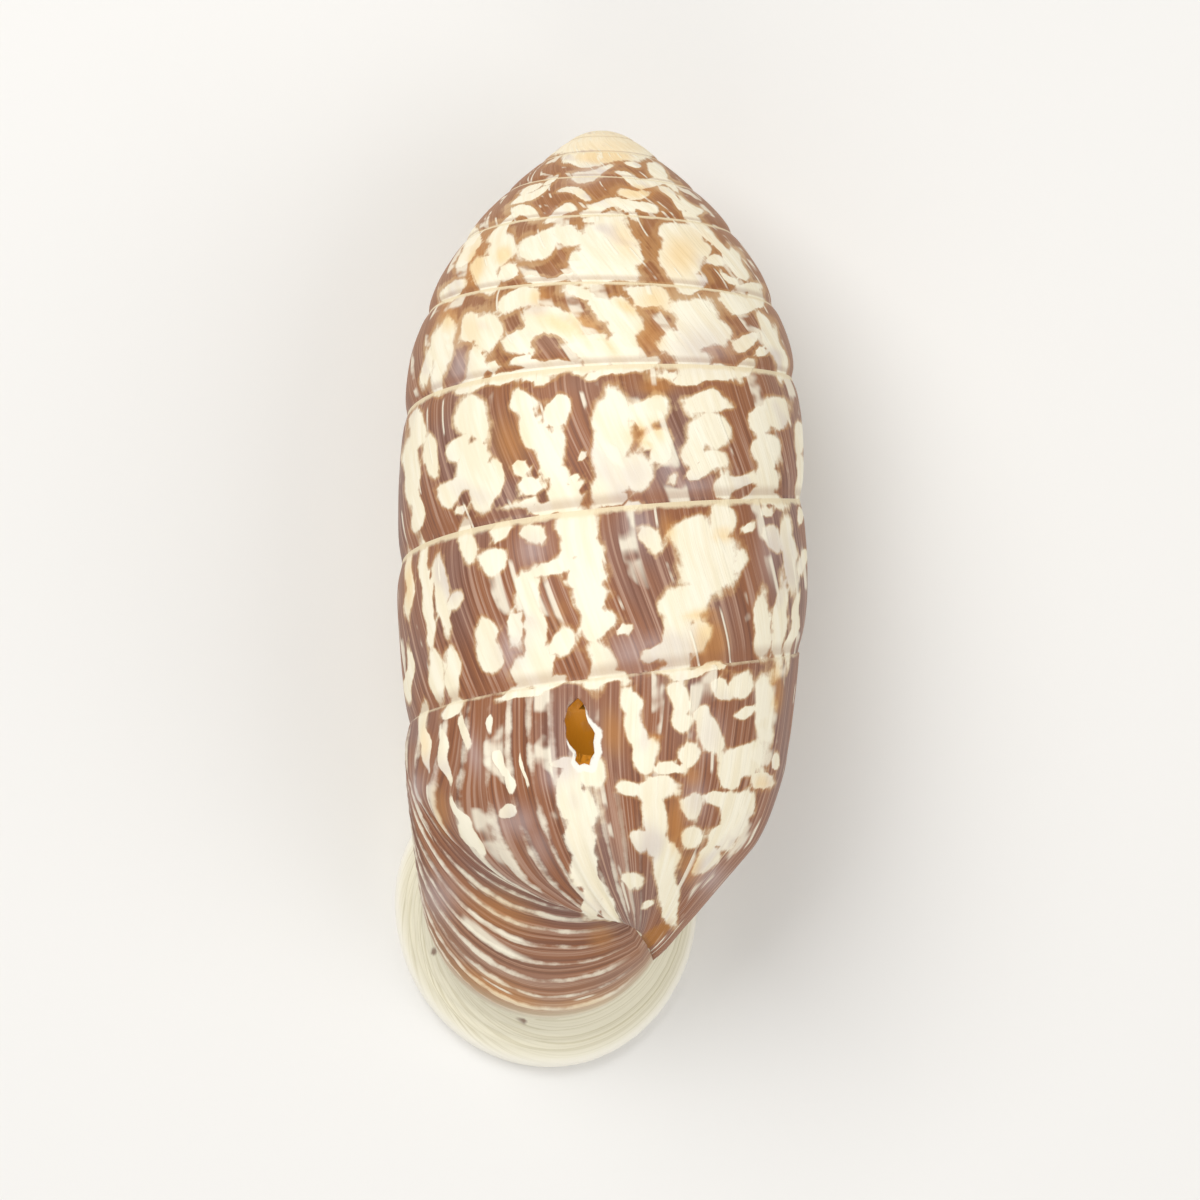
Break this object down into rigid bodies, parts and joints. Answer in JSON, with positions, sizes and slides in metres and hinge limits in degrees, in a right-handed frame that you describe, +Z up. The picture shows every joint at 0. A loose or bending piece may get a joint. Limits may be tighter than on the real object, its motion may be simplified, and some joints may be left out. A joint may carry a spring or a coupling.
{
  "type": "land snail shell",
  "caption": "Cerion land snail shell, pupa-shaped, coiled to the right, with a flared lip round its mouth, axial ribs and a chipped hole.",
  "frame": {"origin": "centre of the bounding box's bottom, on the table the shell lies on", "axes": "+Y towards the apex, along the coil's axis; +Z up, from the mouth to the back of the shell"},
  "size_m": [0.0126, 0.029, 0.0125],
  "materials": {
    "shell": "satin"
  },
  "bodies": {
    "root": {"shell": "shell"}
  },
  "joints": []
}
